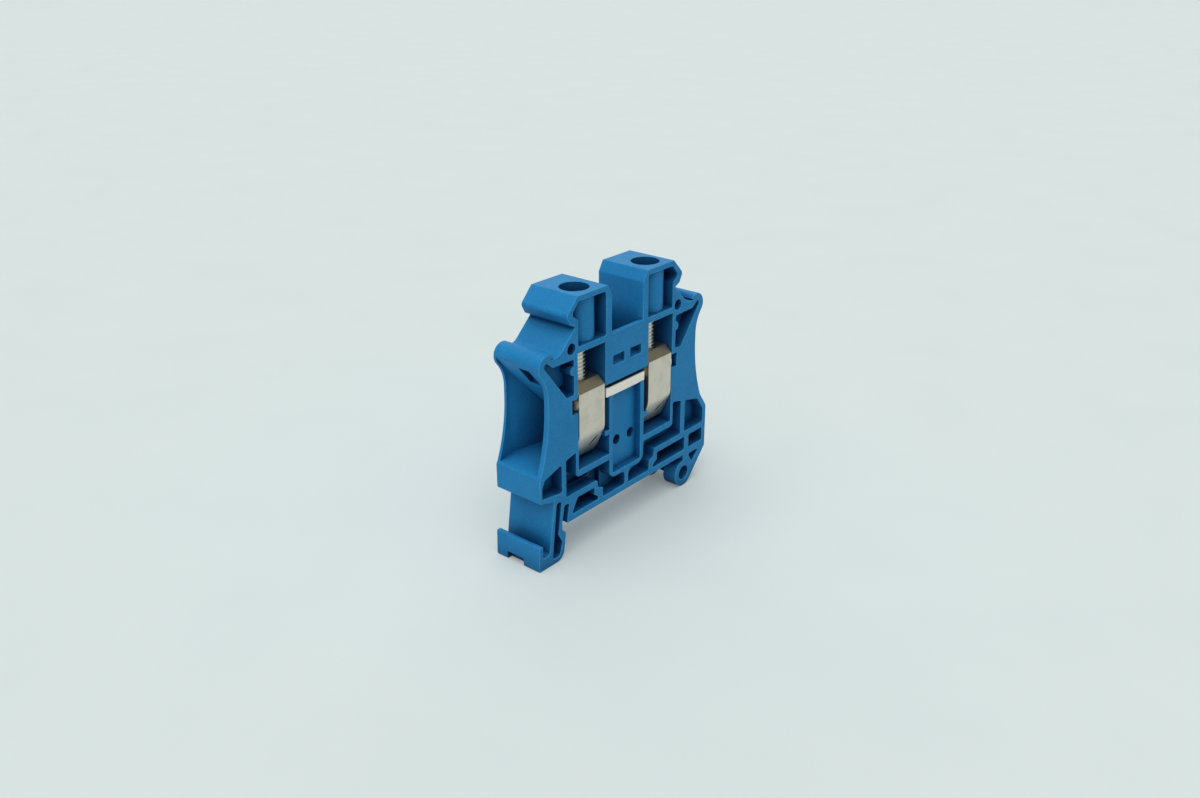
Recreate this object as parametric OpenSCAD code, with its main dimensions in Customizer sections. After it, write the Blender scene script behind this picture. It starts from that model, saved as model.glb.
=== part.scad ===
// Feed-through terminal block for a 35 mm mounting rail, with two screw clamps.
// X runs along the block, Y along the rail (the open side faces -Y), Z is up.
// The block stands on its two rail feet, with the origin below its middle.

/* [Block] */
// Thickness of the block along the rail
block_t = 10.2; // [9.8:0.1:12]
// Depth of the cored pockets in the open side
core_d = 2.5; // [1.5:0.1:3]
// Depth of the two low pockets over the rail
low_d = 4; // [2.5:0.1:6]
// Depth of the pit in the stepped pocket on the latch side
pit_d = 3.5; // [3:0.1:5]
// Depth of the middle panel in the open side
panel_d = 1.45; // [1:0.05:2]
// Diameter of the two small holes in the middle panel
panel_hole_d = 1.9; // [1.4:0.1:2.4]
// Height of these holes above the level rib under them
panel_hole_h = 5; // [4:0.1:6]
// Depth of the tower windows in the open side
window_d = 5; // [2.5:0.1:6]
// Depth of the open shaft between the towers, below the deck
shaft_d = 6; // [4:0.1:7]
// Walls of the shaft at the open and the closed side
shaft_wall = 0.75; // [0.6:0.05:1.2]
// Width of the upright ribs
post_t = 0.95; // [0.7:0.05:1.2]
// Thickness of the level ribs
rib_t = 1.2; // [1:0.05:1.6]
// Height of the lowest row of rib pockets
row_h = 2.7; // [2.2:0.05:3]
// Rounding of the pocket corners
corner_r = 0.3; // [0.1:0.05:0.4]
// Side walls of the wire funnels
funnel_wall = 0.65; // [0.5:0.05:1]

/* [Heights] */
// Height of the rail seat above the feet
foot_h = 6.6; // [6.3:0.1:8]
// Height of the current bar above the rail seat
bar_h = 19.8; // [19:0.1:22]
// Height of the screw deck above the underside of the bar
deck_h = 11.75; // [11.5:0.05:14]
// Thickness of the deck that the screw heads rest on
deck_t = 1.15; // [0.8:0.05:1.4]
// Height of the screw towers above the deck
tower_h = 8.75; // [7.5:0.05:11]

/* [Rail] */
// Width of the mounting rail
rail_w = 35; // [34.5:0.1:36.5]
// Height of the groove for the rail's edge
rail_groove = 1.1; // [1:0.05:1.4]
// Thickness of each of the two noses that reach under the rail
nose_t = 2.9; // [2:0.1:4]
// Wall round the hole in the noses
nose_wall = 1.3; // [0.9:0.05:1.6]

/* [Clamps] */
// Distance between the two clamp screws
screw_pitch = 19; // [18.6:0.1:20]
// Width of the clamp sleeve along the wire
sleeve_w = 6.7; // [6:0.05:6.9]
// Depth of the clamp sleeve across the wire
sleeve_d = 7.7; // [7.2:0.05:8]
// Height of the clamp sleeve
sleeve_h = 15; // [14:0.05:15.2]
// Height of the sleeve's slanting lower sides
shoulder_h = 5.45; // [4.5:0.05:6]
// Outer bend radius at the sleeve's shoulders
shoulder_r = 4; // [1.5:0.1:5]
// Cut of the sleeve's folded top corners
fold_c = 1.4; // [1:0.05:1.6]
// Thickness of the sleeve's strip
strip_t = 1.15; // [0.8:0.05:1.3]
// Thickness of the sleeve's threaded top plate
plate_t = 2.2; // [1.6:0.05:2.4]
// Gap between the sleeve's top plate and the bar, with the clamp open
open_gap = 0.45; // [0.3:0.05:1]
// Clearance between a sleeve and the walls of its bay
bay_gap = 0.2; // [0.1:0.05:0.35]
// Clearance between the open sleeve and the shelf below it
shelf_gap = 0.35; // [0.2:0.05:0.6]

/* [Screws] */
// Thread diameter of the clamp screws
screw_d = 4; // [3:0.1:4.2]
// Diameter of the screw heads
head_d = 5; // [4.8:0.05:5.4]
// Height of the screw heads
head_h = 2.6; // [2:0.1:4]
// Width of the driver slot
slot_w = 1; // [0.8:0.05:1.2]
// Depth of the driver slot
slot_d = 1.3; // [1:0.1:1.6]
// Running clearance round a screw, on the radius
run_gap = 0.08; // [0.05:0.01:0.1]
// Clearance round the screw's shank in the deck, on the radius
shank_gap = 0.25; // [0.15:0.05:0.4]
// Wall of the tube round a screw head
tube_t = 0.75; // [0.5:0.05:0.8]

/* [Current bar] */
// Thickness of the bar
bar_t = 1.9; // [1.4:0.05:2.2]
// Overall length of the bar
bar_l = 28.6; // [28:0.1:29]
// Clearance between the bar and what it passes
bar_gap = 0.25; // [0.15:0.05:0.35]
// Room left above the bar in its slot
bar_head = 0.7; // [0.4:0.05:1]

/* [Side joints] */
// Diameter of the locating holes in the open side
peg_hole_d = 2; // [1.6:0.1:2.2]
// Depth of the locating holes
peg_hole_depth = 3; // [2:0.1:4]

/* [Hidden] */
$fn = 64;
eps = 0.01;
chord_err = 0.006;
blue = "#2b70a3";
nickel = "#b8b6ac";
zinc = "#c8c8be";

// Levels, from the feet up
z_seat = foot_h;
z_low = z_seat + rib_t;
z_mid_under = z_low + row_h;
z_mid = z_mid_under + rib_t;
z_bar = z_seat + bar_h;
z_bar_top = z_bar + bar_t;
z_sleeve_top = z_bar_top + open_gap + plate_t;
z_sleeve = z_sleeve_top - sleeve_h;
z_shelf = z_sleeve - shelf_gap;
z_shelf_under = z_shelf - rib_t;
z_block_under = z_bar_top + bar_head;
z_deck = z_bar + deck_h;
z_deck_under = z_deck - deck_t;
z_top = z_deck + tower_h;

// Places across the block: the open face, the closed face and the clamps' middle
y_open = -block_t / 2;
y_closed = block_t / 2;
y_clamp = y_open + sleeve_d / 2;
y_bay = y_open + sleeve_d + bay_gap;

// Places along the block, as distances from the middle between the screws
x_screw = screw_pitch / 2;
x_bay_in = x_screw - sleeve_w / 2 - bay_gap;
x_bay_out = x_screw + sleeve_w / 2 + bay_gap;
x_post_out = x_bay_out + post_t;
x_panel_out = x_bay_in - 1.1;
x_panel = x_panel_out - post_t;
x_tower = x_screw - 5.25;
x_rail = rail_w / 2;
x_leg_rib = x_rail - 0.1;

// Sizes of the fits
bore_d = head_d + 2 * run_gap;
tube_r = bore_d / 2 + tube_t;
shank_hole_d = screw_d + 2 * shank_gap;
thread_hole_d = screw_d + 2 * run_gap;
sleeve_foot = 1.4;
bar_end_w = sleeve_d - 2 * strip_t - 2 * bar_gap;
bar_mid_w = sleeve_d - 2 * bar_gap;
bar_mid_l = 2 * (x_bay_in - 0.55);

// Waist below the ears, an arc that swings out to the end flanges
waist_r = 31.5;
waist = [x_screw + 10.86, z_deck - 8.55];
waist_low = z_seat + 11.3;
x_waist = waist[0] + waist_r - sqrt(pow(waist_r, 2) - pow(waist[1] - waist_low, 2));

// Ears over the wire funnels, round at the end and hollow underneath
ear_r = 2.1;
ear = [x_screw + 10.85, z_deck - 1.3];
ear_cut = 40;
ear_end = ear + ear_r * [cos(ear_cut), -sin(ear_cut)];
ear_under = [waist[0], ear_end[1] - (ear_end[0] - waist[0]) / tan(ear_cut)];
ear_under_r = 6.5;

// Wire funnels
throat_r = sleeve_d / 2 - strip_t - 0.1;
throat_floor = z_sleeve + shoulder_h - 1.6;
x_throat = x_post_out + 0.1;
roof = [x_throat, z_bar + 0.4];
roof_slope = 50.3;
brow_r = 0.8;

// End flanges, feet and latch
x_left = x_rail + 6.1;
x_flange = x_rail + 5.4;
x_right = x_rail + 7.15;
z_flange = z_seat + 6.35;
nose_r = (foot_h - rail_groove) / 2;
nose = [x_rail + 0.3, nose_r];

// The middle of the whole length, which the origin lies under
frame_x = (x_right - x_left) / 2;

// The widest step between points that keeps a chord close to its arc
function step(r) = min(22.5, 2 * acos(1 - chord_err / r));

// Points of a circle's arc
function arc(c, r, a0, a1) =
    let (n = max(2, ceil(abs(a1 - a0) / step(r))))
    [for (i = [0 : n]) let (a = a0 + (a1 - a0) * i / n) c + r * [cos(a), sin(a)]];

// The angle on a circle where the line from a point touches it on its left
function touch(p, c, r) = let (d = c - p) atan2(d[1], d[0]) + asin(r / norm(d)) + 90;

function unit(v) = v / norm(v);

// One corner of an outline, rounded by an arc that meets both of its edges
function corner(a, p, b, r) =
    let (u = unit(a - p), v = unit(b - p), half = acos(u * v) / 2,
         c = p + unit(u + v) * r / sin(half),
         s = p + u * r / tan(half) - c, e = p + v * r / tan(half) - c,
         a0 = atan2(s[1], s[0]), turn = atan2(s[0] * e[1] - s[1] * e[0], s * e))
    arc(c, r, a0, a0 + turn);

// An outline of [x, z] or [x, z, radius] points, rounded where a radius is given
function rounded(pts) =
    let (n = len(pts), flat = [for (p = pts) [p[0], p[1]]])
    [for (i = [0 : n - 1])
        each (len(pts[i]) > 2 && pts[i][2] > 0
            ? corner(flat[(i + n - 1) % n], flat[i], flat[(i + 1) % n], pts[i][2]) : [flat[i]])];

// The same rounding on every corner
function eased(pts, r = corner_r) = rounded([for (p = pts) [p[0], p[1], r]]);

// Puts a piece in the part's frame
module placed() translate([-frame_x, 0, 0]) children();

// The children on both sides of the middle
module both() {
    children();
    mirror([1, 0, 0]) children();
}

// A prism of an X-Z outline between two places across the block
module across(pts, y0, y1)
    translate([0, y1, 0]) rotate([90, 0, 0]) linear_extrude(y1 - y0) polygon(pts);

// A cut of an X-Z outline into the open side
module pocket(pts, depth = core_d) across(pts, y_open - eps, y_open + depth);

// A round hole into the open side
module hole(x, z, d, depth)
    translate([x, y_open - eps, z]) rotate([-90, 0, 0]) cylinder(d = d, h = depth + eps);

// An upright round bar between two levels at the right-hand screw
module upright(d, z0, z1) translate([x_screw, y_clamp, z0]) cylinder(d = d, h = z1 - z0);

function box(x0, x1, z0, z1) = [[x0, z0], [x1, z0], [x1, z1], [x0, z1]];

// Right half of the upper outline: tower with its marker lip, snap groove, ear and waist
function upper_outline() = concat(
    rounded([[0, waist_low], [0, z_deck], [x_tower, z_deck],
        [x_tower, z_top - 1.9, 0.8], [x_screw - 4.15, z_top, 0.3], [x_screw + 3.55, z_top, 0.2],
        [x_screw + 6.2, z_top - 2.8, 0.8], [x_screw + 5.3, z_top - 4.5, 0.5],
        [x_screw + 4, z_top - 5.1, 0.15], [x_screw + 8, z_deck - 0.15, 2.6],
        [ear[0] - 0.95, z_deck - 0.3, 0.1], [ear[0] - 0.95, z_deck - 0.05, 0.1],
        [ear[0] - 1.525, z_deck + 0.02, 0.08], [ear[0] - 0.7, ear[1] + ear_r, 1.15], ear + [0, ear_r]]),
    arc(ear, ear_r, 90, -ear_cut),
    corner(ear_end, ear_under, waist, ear_under_r),
    arc(waist + [waist_r, 0], waist_r, 180, 180 + asin((waist[1] - waist_low) / waist_r)));

// Lower outline between the end flanges, without the feet
function lower_outline() = rounded([
    [-x_flange, z_flange, 0.3], [-x_rail - 1.6, z_flange - 0.9, 0.6], [-x_rail - 0.2, z_seat + 3.4],
    [-x_rail - 0.2, z_seat], [x_right, z_seat], [x_right, z_seat + 8.4, 1.2],
    [x_waist, waist_low], [-x_waist, waist_low], [-x_flange, waist_low - 0.5, 0.3]]);

// Fixed foot: a round nose under the rail, with a straight back up to the flange
function fixed_foot() =
    let (heel = [x_right, z_seat - 0.3])
    concat([[x_rail + 0.1, z_seat + eps], [x_right, z_seat + eps], heel],
        arc(nose, nose_r, touch(heel, nose, nose_r), touch(heel, nose, nose_r) - 226),
        [[x_rail + 0.1, z_seat - rail_groove]]);

// The gap between the front nose and the rear one
module nose_gap()
    across(box(x_rail - foot_h, x_rail + 1.9, -eps, z_seat - rail_groove),
        y_open + nose_t, y_closed - nose_t);

// Latch foot: a springy double leg with a hook under the rail and a lip for the screwdriver
function latch_foot() = rounded([
    [-x_rail + 0.2, z_seat + 4], [-x_rail + 0.2, z_seat + 3.2], [-x_rail, z_seat + 1.1],
    [-x_rail, z_seat - rail_groove + 0.15], [-x_rail + 0.9, z_seat - rail_groove - 0.5, 0.3],
    [-x_rail + 0.1, 0, 2], [-x_left, 0, 0.3], [-x_left + 0.15, foot_h - 1.8, 0.25],
    [-x_left + 1.1, foot_h - 1.8, 0.25], [-x_left + 1.1, 2.3, 0.4], [-x_rail - 3.4, 2.3, 0.5],
    [-x_rail - 2, z_flange - 0.8], [-x_rail - 2, z_seat + 7], [-x_rail + 0.2, z_seat + 7]]);

// The slots that leave the latch foot its two thin legs
module latch_slots() {
    across(rounded([[-x_rail - 0.1, z_seat + 4.9, 0.45], [-x_rail - 1.35, z_seat + 4.9, 0.45],
        [-x_rail - 2.6, 1, 0.5], [-x_rail - 0.8, 1, 0.6], [-x_rail - 0.1, 3.4, 0.6],
        [-x_rail - 1.05, foot_h - 1.3]]), y_open - eps, y_closed + eps);
    across(rounded([[-x_rail, z_seat + 0.7], [-x_rail + 0.6, z_seat + 3.7, 0.4],
        [-x_rail + 1.9, z_seat + 3.7, 0.4], [-x_rail + 1.2, z_seat + 0.2],
        [-x_rail + 1.35, z_seat - eps], [-x_rail, z_seat - eps]]), y_open - eps, y_closed + eps);
}

// The notch in the middle of the latch lip
module lip_notch()
    translate([-x_left - eps, -1.4, -eps]) cube([1.1 + 2 * eps, 3.9, 1.5]);

// Bay for one clamp, wider below the bar, with the bar's end notch
module clamp_bay() {
    pocket(box(x_bay_in, x_bay_out, z_shelf, z_deck_under), sleeve_d + bay_gap);
    difference() {
        pocket(box(x_panel_out, x_screw, z_shelf, z_bar), sleeve_d + bay_gap);
        pocket(box(x_panel_out - eps, x_bay_in, z_shelf + 3.8, z_shelf + 4.7), 1.4);
    }
    upright(shank_hole_d, z_deck_under - eps, z_deck + eps);
    upright(bore_d, z_deck, z_top + eps);
}

// The slot that the current bar lies in
module bar_slot() {
    translate([-bar_l / 2 - bar_gap, y_open - eps, z_bar])
        cube([bar_l + 2 * bar_gap, sleeve_d / 2 + bar_end_w / 2 + bar_gap + eps, z_block_under - z_bar]);
    translate([-x_screw, y_open - eps, z_bar])
        cube([screw_pitch, sleeve_d / 2 + bar_mid_w / 2 + bar_gap + eps, z_block_under - z_bar]);
}

// Rounded brow where the funnel's roof runs out into the end of the ear
function brow() =
    let (along = [cos(roof_slope), sin(roof_slope)], out = [along[1], -along[0]],
         drop = (roof - ear) * out - brow_r,
         c = ear + drop * out + sqrt(pow(ear_r - brow_r, 2) - drop * drop) * along)
    arc(c, brow_r, roof_slope - 90, atan2(c[1] - ear[1], c[0] - ear[0]));

// Wire funnel that narrows to the throat in front of the clamp
module funnel() {
    reach = x_right + 5;
    brow = brow();
    intersection() {
        across(concat([[reach, waist_low], [x_flange, waist_low], [x_throat, throat_floor], roof],
            brow, [[reach, brow[len(brow) - 1][1]]]), y_open + funnel_wall, y_closed - funnel_wall);
        translate([0, 0, z_seat]) linear_extrude(z_top - z_seat)
            polygon([[reach, y_open + funnel_wall], [x_throat, y_clamp - throat_r - eps],
                [x_throat, y_clamp + throat_r + eps], [x_rail + 2, y_closed - funnel_wall],
                [reach, y_closed - funnel_wall]]);
    }
    translate([x_bay_out - eps, y_clamp, throat_floor + throat_r]) {
        rotate([0, 90, 0]) cylinder(r = throat_r, h = x_throat - x_bay_out + 2 * eps);
        translate([0, -throat_r, 0])
            cube([x_throat - x_bay_out + 2 * eps, 2 * throat_r, z_bar - throat_floor - throat_r]);
    }
}

// Tower window: the marker lip and the sides are cored out round the tube for the screw head
module tower_window()
    difference() {
        pocket(rounded([[x_screw - 3.75, z_deck, 0.3], [x_screw + 3.35, z_deck, 0.2],
            [x_screw + 3.35, z_top - 4.1, 0.5], [x_screw + 4.9, z_top - 2.9, 0.6],
            [x_screw + 3.2, z_top - 1, 0.3], [x_screw - 3.75, z_top - 1, 0.4]]), window_d);
        upright(2 * tube_r, z_deck - eps, z_top);
    }

// Open shaft between the towers for the legs of a bridge, lit through two small front windows
module bridge_shaft() {
    sill = z_deck - shaft_d;
    translate([-x_tower, y_open + shaft_wall, sill])
        cube([2 * x_tower, block_t - 2 * shaft_wall, shaft_d + eps]);
    both() pocket(eased(box(0.8, 3.9, sill, sill + 1.75), 0.15), shaft_wall + eps);
}

// Three-cornered pocket beside the ear, round a small pip, with a deeper pit in its low corner
module ear_pocket() {
    low = z_block_under + 0.95;
    difference() {
        pocket(rounded([[x_post_out, low, 0.3], [x_screw + 6.3, low, 0.25],
            [x_screw + 11.8, z_deck - 1.15, 0.5], [x_screw + 11.2, z_deck - 0.5, 0.35],
            [x_screw + 9.6, z_deck - 1.75, 0.6], [x_post_out, z_deck - 1.85, 0.3]]));
        hole(x_post_out, z_deck - 3.9, 1.7, core_d + eps);
    }
    pocket([[x_post_out + 0.2, low + 0.2], [x_screw + 6.2, low + 0.2], [x_screw + 6.9, low + 1.2],
        [x_post_out + 0.2, low + 1.2]], core_d + 2.5);
}

// Slot in the sloping roof of the funnel
module roof_slot()
    translate([roof[0], 0, roof[1]]) rotate([0, -roof_slope, 0])
        translate([7.4, -2, -1]) cube([4.3, 2.3, 3]);

// Stepped pocket of one half, from the leg rib, under the clamp shelf and round the middle panel
module rib_pocket(middle_r)
    pocket(rounded([[x_post_out - 0.25, z_shelf + 3.6, 0.25], [x_post_out - 0.25, z_shelf_under, 0.8],
        [x_panel_out, z_shelf_under, 0.25], [x_panel_out, z_mid_under, 1.7],
        [0.5, z_mid_under, middle_r], [0.5, z_low, 0.25],
        [x_panel_out + 1.75, z_low, 0.25], [x_panel_out + 1.85, z_mid_under - 0.75, 0.25],
        [x_panel_out + 3.1, z_mid_under - 0.4, 0.25], [x_panel_out + 3.35, z_mid, 0.4],
        [x_leg_rib - 1.05, z_mid, 0.25], [x_leg_rib - 1.05, z_shelf + 3.05, 0.25]]));

// Pockets of the left end, over the latch foot
module left_pockets() {
    pocket(rounded([[-x_leg_rib, z_flange + 0.1, 0.3], [-x_flange + 0.6, z_flange + 0.75, 0.3],
        [-x_flange + 0.6, waist_low - 2.1, 0.5], [-x_flange + 1.2, waist_low - 0.9, 0.5],
        [-x_leg_rib - 0.5, waist_low + 0.3, 0.3], [-x_leg_rib, waist_low + 0.1, 0.2]]));
    pocket(rounded([[-x_panel_out - 3.1, z_low, 0.2], [-x_panel_out - 3.1, z_low + 0.6, 0.3],
        [-x_panel_out - 4.15, z_low + 1.3, 0.2], [-x_panel_out - 4.15, z_mid_under, 0.3],
        [-x_rail + 4, z_mid_under, 0.5], [-x_rail + 2.5, z_low, 0.3]]), low_d);
    pocket(eased([[-x_leg_rib + 1.35, z_mid + 0.3], [-x_panel_out - 3, z_mid + 0.3],
        [-x_panel_out - 2.8, z_mid_under - 0.1], [-x_panel_out - 1.5, z_mid_under - 0.45],
        [-x_panel_out - 1.4, z_low + 0.3], [-x_panel_out - 0.1, z_low + 0.3],
        [-x_panel_out - 0.1, z_shelf_under - 0.3], [-x_leg_rib + 1.35, z_shelf_under - 0.3]], 0.2), pit_d);
}

// Pockets of the right end, over the fixed foot
module right_pockets() {
    x_wall = x_right - 0.95;
    pocket(eased([[x_rail + 0.15, z_mid], [x_wall, z_mid], [x_wall, z_mid + 2.8],
        [x_wall - 2, waist_low - 0.6], [x_rail + 0.15, waist_low + 0.4]], 0.4));
    pocket(eased(box(x_rail + 1.7, x_wall - 0.1, z_low, z_mid_under)));
    pocket(rounded([[x_panel_out + 3.1, z_low, 0.2], [x_rail + 0.35, z_low, 0.3],
        [x_rail + 0.35, z_mid_under, 0.3], [x_panel_out + 4.25, z_mid_under, 0.3],
        [x_panel_out + 4.25, z_low + 1.3, 0.2], [x_panel_out + 3.1, z_low + 0.6, 0.3]]), low_d);
    pocket(eased([[x_rail + 1.75, z_seat - 0.3], [x_rail + 3, z_seat - 2.4],
        [x_rail + 5.2, z_seat - 0.3]], 0.25));
    translate([nose[0], y_open - eps, nose[1]]) rotate([-90, 0, 0])
        cylinder(r = nose_r - nose_wall, h = block_t + 2 * eps);
}

// Middle panel with its two holes
module middle_panel() {
    pocket(eased(box(-x_panel, x_panel, z_mid - 0.3, z_block_under), 0.2), panel_d);
    for (x = [-1.3, 2.65]) hole(x, z_mid + panel_hole_h, panel_hole_d, 2 * panel_d);
}

// One-piece moulded housing
module housing() color(blue) placed()
    difference() {
        union() {
            both() across(upper_outline(), y_open, y_closed);
            across(lower_outline(), y_open, y_closed);
            across(fixed_foot(), y_open, y_closed);
            across(latch_foot(), y_open, y_closed);
        }
        both() {
            clamp_bay();
            funnel();
            tower_window();
            ear_pocket();
            roof_slot();
            hole(x_screw + 5.05, z_deck + 0.1, peg_hole_d, peg_hole_depth);
        }
        bridge_shaft();
        bar_slot();
        middle_panel();
        rib_pocket(1.2);
        mirror([1, 0, 0]) rib_pocket(0.9);
        left_pockets();
        right_pockets();
        latch_slots();
        lip_notch();
        nose_gap();
    }

// Flat bar, wide in the middle and narrow where it passes through the sleeves
module current_bar() color(zinc) placed()
    translate([0, y_clamp, z_bar]) linear_extrude(bar_t) {
        polygon(eased([[-bar_l / 2, -bar_end_w / 2], [bar_l / 2, -bar_end_w / 2],
            [bar_l / 2, bar_end_w / 2], [-bar_l / 2, bar_end_w / 2]], 0.5));
        polygon(eased([[-bar_mid_l / 2, -bar_mid_w / 2], [bar_mid_l / 2, -bar_mid_w / 2],
            [bar_mid_l / 2, bar_mid_w / 2], [-bar_mid_l / 2, bar_mid_w / 2]], 0.4));
    }

// Closed strip, folded to a rounded wedge at the bottom, with a thick threaded top plate
module sleeve_loop() {
    half = sleeve_d / 2;
    taper = atan2(half - sleeve_foot, shoulder_h);
    foot_r = sleeve_foot / tan(45 - taper / 2);
    inner = half - strip_t;
    inner_foot = sleeve_foot - strip_t * tan(45 - taper / 2);
    inner_shoulder = shoulder_h + strip_t * tan(taper / 2);
    fold_r = 0.3;
    translate([x_screw - sleeve_w / 2, y_clamp, z_sleeve]) rotate([90, 0, 90])
        linear_extrude(sleeve_w) difference() {
            polygon(rounded([[-sleeve_foot, 0, foot_r], [sleeve_foot, 0, foot_r],
                [half, shoulder_h, shoulder_r], [half, sleeve_h - fold_c, fold_r],
                [half - fold_c, sleeve_h, fold_r],
                [fold_c - half, sleeve_h, fold_r], [-half, sleeve_h - fold_c, fold_r],
                [-half, shoulder_h, shoulder_r]]));
            polygon(rounded([[-inner_foot, strip_t, foot_r - strip_t],
                [inner_foot, strip_t, foot_r - strip_t],
                [inner, inner_shoulder, shoulder_r - strip_t], [inner, sleeve_h - plate_t, 0.3],
                [-inner, sleeve_h - plate_t, 0.3], [-inner, inner_shoulder, shoulder_r - strip_t]]));
        }
}

module clamp_sleeve()
    difference() {
        sleeve_loop();
        upright(thread_hole_d, z_sleeve_top - plate_t - eps, z_sleeve_top + eps);
    }

module clamp_sleeve_left() color(nickel) placed() mirror([1, 0, 0]) clamp_sleeve();
module clamp_sleeve_right() color(nickel) placed() clamp_sleeve();

// Slotted cylinder-head screw, held between the deck and the bar
module clamp_screw() {
    chamfer = 0.4;
    z_tip = z_bar_top + run_gap;
    z_head = z_deck + run_gap;
    translate([x_screw, y_clamp, 0]) difference() {
        rotate_extrude() polygon([[0, z_tip], [screw_d / 2 - chamfer, z_tip],
            [screw_d / 2, z_tip + chamfer], [screw_d / 2, z_head], [head_d / 2, z_head],
            [head_d / 2, z_head + head_h - chamfer], [head_d / 2 - chamfer, z_head + head_h],
            [0, z_head + head_h]]);
        translate([-head_d, -slot_w / 2, z_head + head_h - slot_d])
            cube([2 * head_d, slot_w, slot_d + eps]);
    }
}

module clamp_screw_left() color(zinc) placed() translate([-screw_pitch, 0, 0]) clamp_screw();
module clamp_screw_right() color(zinc) placed() clamp_screw();

housing();
current_bar();
clamp_sleeve_left();
clamp_sleeve_right();
clamp_screw_left();
clamp_screw_right();
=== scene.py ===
import math

import bpy
from mathutils import Matrix, Vector


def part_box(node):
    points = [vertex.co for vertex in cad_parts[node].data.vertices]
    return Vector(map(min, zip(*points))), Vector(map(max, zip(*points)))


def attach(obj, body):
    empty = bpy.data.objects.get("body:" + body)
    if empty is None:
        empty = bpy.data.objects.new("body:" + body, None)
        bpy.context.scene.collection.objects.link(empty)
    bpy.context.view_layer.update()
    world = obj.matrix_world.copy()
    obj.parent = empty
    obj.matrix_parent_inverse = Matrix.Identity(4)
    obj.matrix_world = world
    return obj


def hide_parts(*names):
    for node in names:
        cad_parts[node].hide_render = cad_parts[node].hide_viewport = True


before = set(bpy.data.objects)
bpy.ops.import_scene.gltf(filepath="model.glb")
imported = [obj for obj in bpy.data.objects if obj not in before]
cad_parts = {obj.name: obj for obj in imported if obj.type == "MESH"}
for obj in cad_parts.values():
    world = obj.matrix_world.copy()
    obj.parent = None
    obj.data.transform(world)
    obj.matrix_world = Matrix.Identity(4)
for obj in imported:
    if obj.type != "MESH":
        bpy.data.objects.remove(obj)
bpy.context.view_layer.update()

# Studio.
# The block stands on a pale paper sheet, under one broad soft lamp overhead, in a dim and slightly warm room
# with a pale backdrop on the far side. The camera looks down on the open side from the latch end.
mm = 0.001
sheet_size = 6
glow_share = 0.23
backdrop_way = (0.699, 0.590, 0.404)
lamp_from = (-0.30, -0.12, 0.95)
lamp_spread = math.radians(80)
aim = Vector((-1.985, 0, 23.60)) * mm
eye_distance = 194.9 * mm
yaw, rise, roll = math.radians(-49.85), math.radians(23.80), math.radians(-0.17)
scene = bpy.context.scene
scene.view_settings.view_transform = "Standard"

bpy.ops.object.select_all(action="DESELECT")
bpy.ops.mesh.primitive_plane_add(size=sheet_size)
sheet = bpy.context.object
sheet.name = "studio_sheet"
sheet_paper = bpy.data.materials.new("studio_paper")
sheet_paper.use_nodes = True
nodes, links = sheet_paper.node_tree.nodes, sheet_paper.node_tree.links
paper = nodes["Principled BSDF"]
paper.inputs["Roughness"].default_value = 0.9
paper.inputs["Specular IOR Level"].default_value = 0.1
place = nodes.new("ShaderNodeTexCoord")
fibre = nodes.new("ShaderNodeTexNoise")
fibre.inputs["Scale"].default_value = 40
fibre.inputs["Detail"].default_value = 4
links.new(place.outputs["Object"], fibre.inputs["Vector"])
tint = nodes.new("ShaderNodeValToRGB")
tint.color_ramp.elements[0].position = 0.3
tint.color_ramp.elements[0].color = (0.620, 0.704, 0.722, 1)
tint.color_ramp.elements[1].position = 0.7
tint.color_ramp.elements[1].color = (0.640, 0.724, 0.742, 1)
links.new(fibre.outputs["Fac"], tint.inputs["Fac"])
links.new(tint.outputs["Color"], paper.inputs["Base Color"])
glow = nodes.new("ShaderNodeEmission")
glow.inputs["Color"].default_value = (0.665, 0.750, 0.757, 1)
sight = nodes.new("ShaderNodeLightPath")
seen = nodes.new("ShaderNodeMath")
seen.operation = "MAXIMUM"
links.new(sight.outputs["Is Camera Ray"], seen.inputs[0])
links.new(sight.outputs["Is Glossy Ray"], seen.inputs[1])
through = nodes.new("ShaderNodeMath")
through.operation = "MAXIMUM"
links.new(seen.outputs["Value"], through.inputs[0])
links.new(sight.outputs["Is Transmission Ray"], through.inputs[1])
share = nodes.new("ShaderNodeMath")
share.operation = "MULTIPLY"
share.inputs[1].default_value = glow_share
links.new(through.outputs["Value"], share.inputs[0])
lit = nodes.new("ShaderNodeMixShader")
links.new(share.outputs["Value"], lit.inputs["Fac"])
links.new(paper.outputs["BSDF"], lit.inputs[1])
links.new(glow.outputs["Emission"], lit.inputs[2])
links.new(lit.outputs["Shader"], nodes["Material Output"].inputs["Surface"])
sheet.data.materials.append(sheet_paper)

room = bpy.data.worlds.new("studio_room")
scene.world = room
room.use_nodes = True
nodes, links = room.node_tree.nodes, room.node_tree.links
walls = nodes["Background"]
place = nodes.new("ShaderNodeTexCoord")
towards = nodes.new("ShaderNodeVectorMath")
towards.operation = "DOT_PRODUCT"
towards.inputs[1].default_value = backdrop_way
links.new(place.outputs["Generated"], towards.inputs[0])
backdrop = nodes.new("ShaderNodeMapRange")
backdrop.interpolation_type = "SMOOTHSTEP"
backdrop.inputs["From Min"].default_value = 0.74
backdrop.inputs["From Max"].default_value = 0.94
links.new(towards.outputs["Value"], backdrop.inputs["Value"])
around = nodes.new("ShaderNodeMix")
around.data_type = "RGBA"
around.inputs["A"].default_value = (0.222, 0.211, 0.180, 1)
around.inputs["B"].default_value = (0.99, 0.985, 0.96, 1)
links.new(backdrop.outputs["Result"], around.inputs["Factor"])
links.new(around.outputs["Result"], walls.inputs["Color"])

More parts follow.
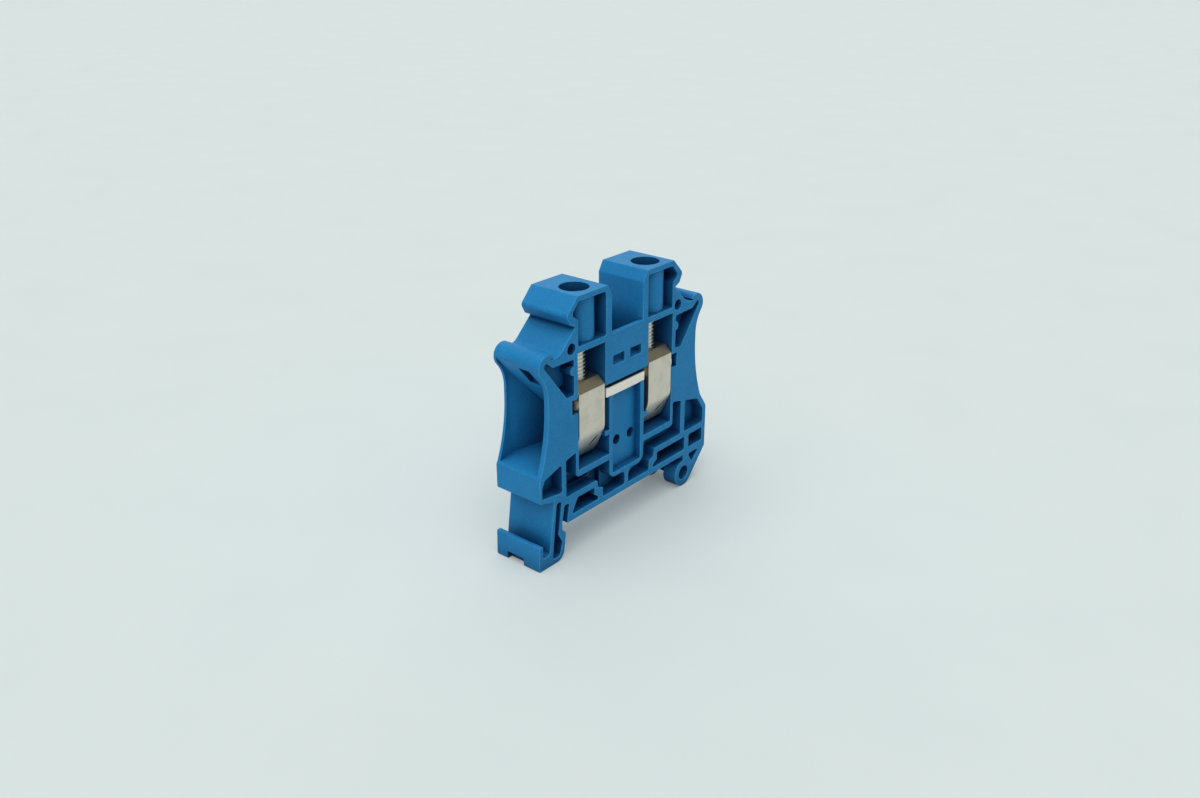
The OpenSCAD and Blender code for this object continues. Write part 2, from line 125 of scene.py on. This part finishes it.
lamp_data = bpy.data.lights.new("overhead_softbox", "SUN")
lamp_data.angle = lamp_spread
lamp_data.energy = 2.6
lamp_data.color = (1.0, 0.995, 0.98)
lamp = bpy.data.objects.new("overhead_softbox", lamp_data)
scene.collection.objects.link(lamp)
lamp.location = lamp_from
lamp.rotation_euler = lamp.location.to_track_quat("Z", "Y").to_euler()

camera_data = bpy.data.cameras.new("photo_camera")
camera_data.sensor_width = 36
camera_data.lens = 32.712
camera_data.clip_start = 0.01
camera_data.clip_end = 20
camera = bpy.data.objects.new("photo_camera", camera_data)
scene.collection.objects.link(camera)
back = Vector((math.sin(yaw) * math.cos(rise), -math.cos(yaw) * math.cos(rise), math.sin(rise)))
level = Vector((math.cos(yaw), math.sin(yaw), 0))
upright = back.cross(level)
across = level * math.cos(roll) + upright * math.sin(roll)
above = upright * math.cos(roll) - level * math.sin(roll)
eye = aim + back * eye_distance
camera.matrix_world = Matrix((
    (across.x, above.x, back.x, eye.x),
    (across.y, above.y, back.y, eye.y),
    (across.z, above.z, back.z, eye.z),
    (0, 0, 0, 1)))
scene.camera = camera

# Housing.
# One blue polyamide moulding, open on the camera's side, that carries all other pieces. Its faces have the
# fine grain of a spark-eroded mould, and every rim of its two sides has a small radius. Three corners that
# are too tight for that radius are closed first. Its colour has painted shade in the recesses and a painted
# highlight on the rims of its sides.
rim_round = 0.15 * mm
rim_steps = ((0.134, 0.5), (0.366, 0.366), (0.5, 0.134))
tight_corners = ((17.12 * mm, 5.5 * mm), (18.43 * mm, 38.22 * mm), (-19.48 * mm, 38.22 * mm))
corner_reach = 0.08 * mm
weld_reach = 0.002 * mm
flush_within = 0.001 * mm
smooth_below = math.radians(32)


def own_copy(node, name):
    """A merged copy of a CAD node, without its own shading, selected and active."""
    bpy.ops.object.select_all(action="DESELECT")
    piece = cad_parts[node].copy()
    piece.data = piece.data.copy()
    piece.name = name
    scene.collection.objects.link(piece)
    bpy.context.view_layer.objects.active = piece
    piece.select_set(True)
    bpy.ops.object.mode_set(mode="EDIT")
    bpy.ops.mesh.select_all(action="SELECT")
    bpy.ops.mesh.remove_doubles(threshold=weld_reach)
    bpy.ops.object.mode_set(mode="OBJECT")
    bpy.ops.mesh.customdata_custom_splitnormals_clear()
    return piece


def soften_ends(piece, axis, radius):
    """Rounds the rims of a prism's two end faces: each is pushed in and brought out in narrowing steps."""
    for side in (-1, 1):
        bpy.ops.object.mode_set(mode="EDIT")
        bpy.ops.mesh.select_mode(type="FACE")
        bpy.ops.mesh.select_all(action="DESELECT")
        bpy.ops.object.mode_set(mode="OBJECT")
        places = [point.co[axis] for point in piece.data.vertices]
        end = max(places) if side > 0 else min(places)
        on_end = [abs(spot - end) < flush_within for spot in places]
        for face in piece.data.polygons:
            face.select = all(on_end[corner] for corner in face.vertices)
        bpy.ops.object.mode_set(mode="EDIT")
        shift = [0, 0, 0]
        shift[axis] = -side * radius
        bpy.ops.transform.translate(value=shift)
        for inward, outward in rim_steps:
            bpy.ops.mesh.inset(thickness=inward * radius, depth=outward * radius)
    bpy.ops.object.mode_set(mode="OBJECT")
    bpy.ops.object.shade_smooth_by_angle(angle=smooth_below)
    even = piece.modifiers.new("even_shading", "WEIGHTED_NORMAL")
    even.keep_sharp = True
    bpy.ops.object.modifier_apply(modifier="even_shading")


housing = own_copy("housing", "moulded_housing")
for corner_x, corner_z in tight_corners:
    bpy.ops.object.mode_set(mode="EDIT")
    bpy.ops.mesh.select_mode(type="VERT")
    bpy.ops.mesh.select_all(action="DESELECT")
    bpy.ops.object.mode_set(mode="OBJECT")
    for point in housing.data.vertices:
        point.select = max(abs(point.co.x - corner_x), abs(point.co.z - corner_z)) < corner_reach
    bpy.ops.object.mode_set(mode="EDIT")
    bpy.ops.mesh.remove_doubles(threshold=2 * corner_reach)
    bpy.ops.object.mode_set(mode="OBJECT")
soften_ends(housing, axis=1, radius=rim_round)
low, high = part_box("housing")
# The faces of the rounded side rims are marked for the painted highlight in the material.
rim_highlight_marks = housing.data.attributes.new("rim", "FLOAT", "FACE")
for face, mark in zip(housing.data.polygons, rim_highlight_marks.data):
    at_side = abs(face.center.y) > high.y - rim_round
    turned_away = abs(face.normal.y) < 0.995
    mark.value = float(at_side and turned_away)
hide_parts("housing")
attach(housing, "block")

blue = bpy.data.materials.new("moulded_polyamide")
blue.use_nodes = True
nodes, links = blue.node_tree.nodes, blue.node_tree.links
skin = nodes["Principled BSDF"]
skin.inputs["Specular IOR Level"].default_value = 0.15
place = nodes.new("ShaderNodeTexCoord")
cloud = nodes.new("ShaderNodeTexNoise")
cloud.inputs["Scale"].default_value = 220
cloud.inputs["Detail"].default_value = 6
cloud.inputs["Roughness"].default_value = 0.6
links.new(place.outputs["Object"], cloud.inputs["Vector"])
shade = nodes.new("ShaderNodeValToRGB")
shade.color_ramp.elements[0].position = 0.3
shade.color_ramp.elements[0].color = (0.012, 0.194, 0.466, 1)
shade.color_ramp.elements[1].position = 0.7
shade.color_ramp.elements[1].color = (0.016, 0.228, 0.530, 1)
links.new(cloud.outputs["Fac"], shade.inputs["Fac"])
# Painted shade: where ambient occlusion finds a face enclosed, in pockets and recesses, the base colour is
# mixed towards a deep navy.
enclosed = nodes.new("ShaderNodeAmbientOcclusion")
enclosed.samples = 8
enclosed.inputs["Distance"].default_value = 9 * mm
depth = nodes.new("ShaderNodeMapRange")
depth.inputs["From Min"].default_value = 0.22
depth.inputs["From Max"].default_value = 0.80
links.new(enclosed.outputs["AO"], depth.inputs["Value"])
recess_painted_shade = nodes.new("ShaderNodeMix")
recess_painted_shade.data_type = "RGBA"
recess_painted_shade.inputs["A"].default_value = (0.003, 0.036, 0.138, 1)
links.new(depth.outputs["Result"], recess_painted_shade.inputs["Factor"])
links.new(shade.outputs["Color"], recess_painted_shade.inputs["B"])
# Painted highlight: the marked rim faces are mixed towards a lighter blue, by an amount that follows the
# cloud noise.
rim = nodes.new("ShaderNodeAttribute")
rim.attribute_name = "rim"
rim_highlight_share = nodes.new("ShaderNodeMath")
rim_highlight_share.operation = "MULTIPLY"
links.new(rim.outputs["Fac"], rim_highlight_share.inputs[0])
links.new(cloud.outputs["Fac"], rim_highlight_share.inputs[1])
painted_rim_highlight = nodes.new("ShaderNodeMix")
painted_rim_highlight.data_type = "RGBA"
painted_rim_highlight.inputs["B"].default_value = (0.05, 0.31, 0.61, 1)
links.new(rim_highlight_share.outputs["Value"], painted_rim_highlight.inputs["Factor"])
links.new(recess_painted_shade.outputs["Result"], painted_rim_highlight.inputs["A"])
grain = nodes.new("ShaderNodeTexNoise")
grain.inputs["Scale"].default_value = 5200
grain.inputs["Detail"].default_value = 2
links.new(place.outputs["Object"], grain.inputs["Vector"])
fleck = nodes.new("ShaderNodeMapRange")
fleck.inputs["From Min"].default_value = 0.3
fleck.inputs["From Max"].default_value = 0.7
fleck.inputs["To Min"].default_value = 0.86
fleck.inputs["To Max"].default_value = 1.14
links.new(grain.outputs["Fac"], fleck.inputs["Value"])
speckle = nodes.new("ShaderNodeVectorMath")
speckle.operation = "SCALE"
links.new(painted_rim_highlight.outputs["Result"], speckle.inputs[0])
links.new(fleck.outputs["Result"], speckle.inputs["Scale"])
links.new(speckle.outputs["Vector"], skin.inputs["Base Color"])
dull = nodes.new("ShaderNodeMapRange")
dull.inputs["To Min"].default_value = 0.42
dull.inputs["To Max"].default_value = 0.62
links.new(grain.outputs["Fac"], dull.inputs["Value"])
links.new(dull.outputs["Result"], skin.inputs["Roughness"])
bump = nodes.new("ShaderNodeBump")
bump.inputs["Strength"].default_value = 0.35
bump.inputs["Distance"].default_value = 0.02 * mm
links.new(grain.outputs["Fac"], bump.inputs["Height"])
links.new(bump.outputs["Normal"], skin.inputs["Normal"])
housing.data.materials.clear()
housing.data.materials.append(blue)

# Current bar.
# A flat copper bar, stamped out and tinned, that lies in the housing's slot and passes through both clamps.
# The tin is pale and satin with fine rolling streaks along the bar, and the last stretch at the latch side
# is painted nearly black: painted shade of the notch it sits in.
bar_rim = 0.16 * mm
# Where the painted shade at the latch end begins, and where it is full.
end_shade_fades_at, end_shade_full_at = 1.6 * mm, 0.5 * mm

plating = bpy.data.node_groups.new("worn_plating", "ShaderNodeTree")
sockets = plating.interface
for name, kind, start in (("Bright", "NodeSocketColor", (0.7, 0.68, 0.62, 1)),
                          ("Tarnish", "NodeSocketColor", (0.45, 0.42, 0.36, 1)),
                          ("Satin", "NodeSocketFloat", 0.3),
                          ("Streaks", "NodeSocketVector", (1.0, 1.0, 1.0))):
    socket = sockets.new_socket(name=name, in_out="INPUT", socket_type=kind)
    socket.default_value = start
for name, kind in (("Color", "NodeSocketColor"),
                   ("Roughness", "NodeSocketFloat"),
                   ("Height", "NodeSocketFloat")):
    sockets.new_socket(name=name, in_out="OUTPUT", socket_type=kind)
nodes, links = plating.nodes, plating.links
given = nodes.new("NodeGroupInput")
result = nodes.new("NodeGroupOutput")
place = nodes.new("ShaderNodeTexCoord")
drawn = nodes.new("ShaderNodeVectorMath")
drawn.operation = "MULTIPLY"
links.new(place.outputs["Object"], drawn.inputs[0])
links.new(given.outputs["Streaks"], drawn.inputs[1])
streak = nodes.new("ShaderNodeTexNoise")
streak.inputs["Scale"].default_value = 1000
streak.inputs["Detail"].default_value = 4
links.new(drawn.outputs["Vector"], streak.inputs["Vector"])
blotch = nodes.new("ShaderNodeTexNoise")
blotch.inputs["Scale"].default_value = 420
blotch.inputs["Detail"].default_value = 5
blotch.inputs["Roughness"].default_value = 0.65
links.new(place.outputs["Object"], blotch.inputs["Vector"])
stain = nodes.new("ShaderNodeMapRange")
stain.inputs["From Min"].default_value = 0.45
stain.inputs["From Max"].default_value = 0.95
links.new(blotch.outputs["Fac"], stain.inputs["Value"])
coat = nodes.new("ShaderNodeMix")
coat.data_type = "RGBA"
links.new(stain.outputs["Result"], coat.inputs["Factor"])
links.new(given.outputs["Bright"], coat.inputs["A"])
links.new(given.outputs["Tarnish"], coat.inputs["B"])
links.new(coat.outputs["Result"], result.inputs["Color"])
drift = nodes.new("ShaderNodeMapRange")
drift.inputs["To Min"].default_value = -0.09
drift.inputs["To Max"].default_value = 0.09
links.new(streak.outputs["Fac"], drift.inputs["Value"])
gloss = nodes.new("ShaderNodeMath")
gloss.operation = "ADD"
links.new(given.outputs["Satin"], gloss.inputs[0])
links.new(drift.outputs["Result"], gloss.inputs[1])
links.new(gloss.outputs["Value"], result.inputs["Roughness"])
links.new(streak.outputs["Fac"], result.inputs["Height"])


def plated(name, bright, tarnish, satin, streaks, scratch_depth):
    """A metal finish on the shared plating, with its own colours, gloss and direction of drawing."""
    finish = bpy.data.materials.new(name)
    finish.use_nodes = True
    nodes, links = finish.node_tree.nodes, finish.node_tree.links
    metal = nodes["Principled BSDF"]
    metal.inputs["Metallic"].default_value = 1
    worn = nodes.new("ShaderNodeGroup")
    worn.node_tree = plating
    worn.inputs["Bright"].default_value = bright
    worn.inputs["Tarnish"].default_value = tarnish
    worn.inputs["Satin"].default_value = satin
    worn.inputs["Streaks"].default_value = streaks
    links.new(worn.outputs["Color"], metal.inputs["Base Color"])
    links.new(worn.outputs["Roughness"], metal.inputs["Roughness"])
    scratch = nodes.new("ShaderNodeBump")
    scratch.inputs["Strength"].default_value = 0.4
    scratch.inputs["Distance"].default_value = scratch_depth
    links.new(worn.outputs["Height"], scratch.inputs["Height"])
    links.new(scratch.outputs["Normal"], metal.inputs["Normal"])
    return finish


bar = own_copy("current_bar", "tinned_current_bar")
soften_ends(bar, axis=2, radius=bar_rim)
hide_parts("current_bar")
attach(bar, "block")

low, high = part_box("current_bar")
tin = plated("bright_tin", bright=(0.91, 0.86, 0.78, 1), tarnish=(0.72, 0.67, 0.59, 1), satin=0.36,
             streaks=(0.25, 3.0, 3.0), scratch_depth=0.01 * mm)
nodes, links = tin.node_tree.nodes, tin.node_tree.links
place = nodes.new("ShaderNodeTexCoord")
along = nodes.new("ShaderNodeSeparateXYZ")
links.new(place.outputs["Object"], along.inputs["Vector"])
# Painted shade: over the last stretch at the latch end the tin is mixed towards nearly black.
end_shade_mask = nodes.new("ShaderNodeMapRange")
end_shade_mask.inputs["From Min"].default_value = low.x + end_shade_fades_at
end_shade_mask.inputs["From Max"].default_value = low.x + end_shade_full_at
links.new(along.outputs["X"], end_shade_mask.inputs["Value"])
painted_end_shade = nodes.new("ShaderNodeMix")
painted_end_shade.data_type = "RGBA"
painted_end_shade.inputs["B"].default_value = (0.10, 0.075, 0.06, 1)
links.new(end_shade_mask.outputs["Result"], painted_end_shade.inputs["Factor"])
links.new(nodes["Group"].outputs["Color"], painted_end_shade.inputs["A"])
links.new(painted_end_shade.outputs["Result"], nodes["Principled BSDF"].inputs["Base Color"])
bar.data.materials.clear()
bar.data.materials.append(tin)

# Clamp sleeves.
# Steel strip, folded into a closed loop with a pointed foot and plated with nickel. The upper fold, where it
# faces up and to the front, carries painted shade with a warm tint. The sawn sides have soft edges, and a
# short crease is stamped into the front of the foot, painted near black as painted shade. Each sleeve slides
# in its bay with the screw's thread in its thick top.
sleeve_rim = 0.12 * mm
crease_half = Vector((1.25, 0.24, 0.45)) * mm
crease_at = Vector((1.25, 0.9125, 3.42)) * mm
crease_turn = (math.radians(114.2), 0, math.radians(48))
foot_inward = Vector((0, math.sin(crease_turn[0]), -math.cos(crease_turn[0])))
cut_deeper_than = 0.02 * mm

nickel = plated("satin_nickel", bright=(0.69, 0.635, 0.545, 1), tarnish=(0.51, 0.45, 0.36, 1), satin=0.36,
                streaks=(3.0, 3.0, 0.3), scratch_depth=0.01 * mm)
nodes, links = nickel.node_tree.nodes, nickel.node_tree.links
# Painted shade: the faces of the upper fold that point up and to the front are darkened with a warm tint.
bend = nodes.new("ShaderNodeAttribute")
bend.attribute_name = "fold"
fold_painted_shade = nodes.new("ShaderNodeMix")
fold_painted_shade.data_type = "RGBA"
fold_painted_shade.blend_type = "MULTIPLY"
fold_painted_shade.inputs["B"].default_value = (0.74, 0.76, 0.63, 1)
links.new(bend.outputs["Fac"], fold_painted_shade.inputs["Factor"])
links.new(nodes["Group"].outputs["Color"], fold_painted_shade.inputs["A"])
# Painted shade: the faces inside the stamped crease are mixed towards near black.
stamp = nodes.new("ShaderNodeAttribute")
stamp.attribute_name = "crease"
crease_painted_shade = nodes.new("ShaderNodeMix")
crease_painted_shade.data_type = "RGBA"
crease_painted_shade.inputs["B"].default_value = (0.05, 0.05, 0.045, 1)
links.new(stamp.outputs["Fac"], crease_painted_shade.inputs["Factor"])
links.new(fold_painted_shade.outputs["Result"], crease_painted_shade.inputs["A"])
links.new(crease_painted_shade.outputs["Result"], nodes["Principled BSDF"].inputs["Base Color"])

for side in ("left", "right"):
    sleeve = own_copy("clamp_sleeve_" + side, "folded_sleeve_" + side)
    low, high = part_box("clamp_sleeve_" + side)
    crease_mid = Vector(((low.x + high.x) / 2, low.y, low.z)) + crease_at

    bpy.ops.object.select_all(action="DESELECT")
    bpy.ops.mesh.primitive_uv_sphere_add(segments=24, ring_count=12, radius=1)
    dent = bpy.context.object
    dent.scale = crease_half
    dent.rotation_mode = "ZYX"
    dent.rotation_euler = crease_turn
    dent.location = crease_mid
    bpy.ops.object.transform_apply(location=True, rotation=True, scale=True)
    bpy.ops.object.select_all(action="DESELECT")
    bpy.context.view_layer.objects.active = sleeve
    sleeve.select_set(True)
    stamped = sleeve.modifiers.new("stamped_crease", "BOOLEAN")
    stamped.operation = "DIFFERENCE"
    stamped.object = dent
    bpy.ops.object.modifier_apply(modifier="stamped_crease")
    bpy.data.objects.remove(dent)
    soften_ends(sleeve, axis=0, radius=sleeve_rim)

    sleeve.data.attributes.new("crease", "FLOAT", "FACE")
    sleeve.data.attributes.new("fold", "FLOAT", "FACE")
    creased = sleeve.data.attributes["crease"].data
    folded = sleeve.data.attributes["fold"].data
    for face in sleeve.data.polygons:
        from_mid = face.center - crease_mid
        near = from_mid.length < crease_half.x
        below_front = abs(from_mid.dot(foot_inward)) > cut_deeper_than
        tilted = abs(face.normal.dot(foot_inward)) < 0.97
        creased[face.index].value = float(near and below_front and tilted)
        # The fold mark picks faces by the way they point, for the painted shade on the upper fold.
        folded[face.index].value = float(face.normal.z > 0.3 and face.normal.y < -0.3)
    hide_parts("clamp_sleeve_" + side)
    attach(sleeve, side + "_clamp")
    sleeve.data.materials.clear()
    sleeve.data.materials.append(nickel)

# Clamp screws.
# Zinc-plated steel screws with a rolled thread and a slotted cylinder head. Each head rests on the deck in
# its tower, and the tip stands just clear of the bar. One is made on its own axis, and both are copies of it.
pitch = 0.7 * mm
crest, root = 1.98 * mm, 1.60 * mm
thread_path = ((crest - root, 0, 0.3 * pitch), (0, 0, 0.12 * pitch),
               (root - crest, 0, 0.3 * pitch), (0, 0, 0.28 * pitch))
thread_lead = 2.313 * pitch
spare_turns = 4
steps_a_turn = 40
thread_weld = 0.001 * mm
trim_within = 0.0001 * mm
head_height = 2.6 * mm
head_edge = 0.3 * mm
head_overlap = 0.1 * mm
slot_length, slot_width, slot_depth = 8 * mm, 1.0 * mm, 1.3 * mm
zinc = plated("bright_zinc", bright=(0.72, 0.69, 0.62, 1), tarnish=(0.45, 0.42, 0.35, 1), satin=0.24,
              streaks=(1.0, 1.0, 1.0), scratch_depth=0.006 * mm)

low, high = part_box("clamp_screw_left")
head_radius = (high.x - low.x) / 2
head_base = high.z - head_height

bpy.ops.object.select_all(action="DESELECT")
bpy.ops.mesh.primitive_plane_add(size=mm, location=(0, 0, 0))
turned_screw = bpy.context.object
bpy.ops.object.mode_set(mode="EDIT")
bpy.ops.mesh.select_mode(type="VERT")
bpy.ops.mesh.select_all(action="SELECT")
bpy.ops.mesh.merge(type="CENTER")
bpy.ops.transform.translate(value=(root, 0, low.z - thread_lead))
for step in thread_path:
    bpy.ops.mesh.extrude_region_move(TRANSFORM_OT_translate={"value": step})
bpy.ops.object.mode_set(mode="OBJECT")
winding = turned_screw.modifiers.new("rolled_thread", "SCREW")
winding.axis = "Z"
winding.screw_offset = pitch
winding.iterations = math.ceil((head_base - low.z) / pitch) + spare_turns
winding.steps = steps_a_turn
winding.render_steps = steps_a_turn
winding.use_merge_vertices = True
winding.merge_threshold = thread_weld
bpy.ops.object.modifier_apply(modifier="rolled_thread")
bpy.ops.object.mode_set(mode="EDIT")
bpy.ops.mesh.select_all(action="SELECT")
bpy.ops.mesh.remove_doubles(threshold=thread_weld)
bpy.ops.mesh.select_all(action="SELECT")
bpy.ops.mesh.bisect(plane_co=(0, 0, low.z), plane_no=(0, 0, 1), use_fill=True, clear_inner=True,
                    threshold=trim_within)
bpy.ops.mesh.select_all(action="SELECT")
bpy.ops.mesh.bisect(plane_co=(0, 0, head_base + head_overlap), plane_no=(0, 0, 1), use_fill=True,
                    clear_outer=True, threshold=trim_within)
bpy.ops.mesh.select_all(action="SELECT")
bpy.ops.mesh.normals_make_consistent(inside=False)
bpy.ops.object.mode_set(mode="OBJECT")

bpy.ops.object.select_all(action="DESELECT")
bpy.ops.mesh.primitive_cylinder_add(vertices=64, radius=head_radius, depth=head_height,
                                    location=(0, 0, (high.z + head_base) / 2))
head = bpy.context.object
bpy.ops.object.transform_apply(location=True, rotation=True, scale=True)
edge_round = head.modifiers.new("turned_edges", "BEVEL")
edge_round.width = head_edge
edge_round.segments = 3
edge_round.limit_method = "ANGLE"
bpy.ops.object.modifier_apply(modifier="turned_edges")
bpy.ops.mesh.primitive_cube_add(size=1, location=(0, 0, high.z))
cutter = bpy.context.object
cutter.scale = (slot_length, slot_width, 2 * slot_depth)
bpy.ops.object.transform_apply(location=True, rotation=True, scale=True)
bpy.ops.object.select_all(action="DESELECT")
bpy.context.view_layer.objects.active = head
head.select_set(True)
slot_cut = head.modifiers.new("driver_slot", "BOOLEAN")
slot_cut.operation = "DIFFERENCE"
slot_cut.object = cutter
bpy.ops.object.modifier_apply(modifier="driver_slot")
bpy.data.objects.remove(cutter)

bpy.ops.object.select_all(action="DESELECT")
head.select_set(True)
turned_screw.select_set(True)
bpy.context.view_layer.objects.active = turned_screw
bpy.ops.object.join()
bpy.ops.object.shade_smooth_by_angle(angle=smooth_below)
turned_screw.data.materials.clear()
turned_screw.data.materials.append(zinc)

for side in ("left", "right"):
    low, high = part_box("clamp_screw_" + side)
    bpy.ops.object.select_all(action="DESELECT")
    screw = turned_screw.copy()
    screw.data = turned_screw.data.copy()
    screw.name = "slotted_screw_" + side
    scene.collection.objects.link(screw)
    bpy.context.view_layer.objects.active = screw
    screw.select_set(True)
    screw.location = ((low.x + high.x) / 2, (low.y + high.y) / 2, 0)
    bpy.ops.object.transform_apply(location=True, rotation=True, scale=True)
    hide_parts("clamp_screw_" + side)
    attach(screw, side + "_screw")
bpy.data.objects.remove(turned_screw)
